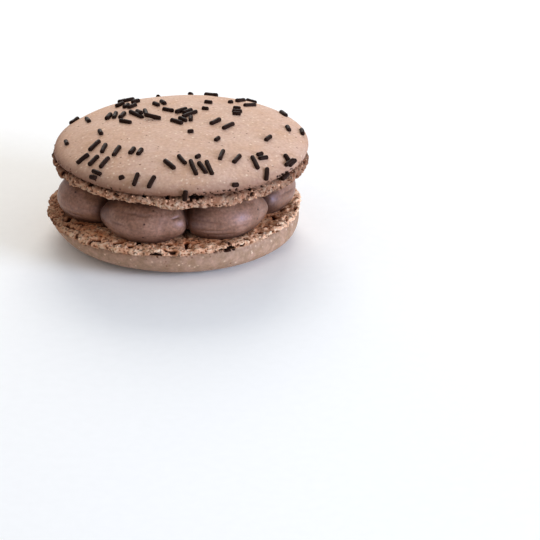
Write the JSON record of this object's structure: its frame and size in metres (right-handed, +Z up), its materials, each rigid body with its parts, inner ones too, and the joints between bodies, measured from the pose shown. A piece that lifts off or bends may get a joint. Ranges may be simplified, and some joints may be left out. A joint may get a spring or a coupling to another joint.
{
  "type": "chocolate macaron",
  "caption": "Round chocolate macaron: two domed almond shells with ragged feet round a ring of piped filling, with sprinkles on the top.",
  "frame": {"origin": "on the flat spot that the macaron rests on, under the lower shell's axis", "axes": "+Z up through the stack, -Y towards the side that the picture shows, +X to that side's right"},
  "size_m": [0.0745, 0.0735, 0.0346],
  "materials": {
    "shell": "matte baked almond crust with a crumbly foot",
    "filling": "satin piped chocolate filling",
    "sprinkle": "softly shiny dark chocolate"
  },
  "bodies": {
    "root": {"top_shell": "shell", "filling": "filling", "bottom_shell": "shell"}
  },
  "joints": []
}
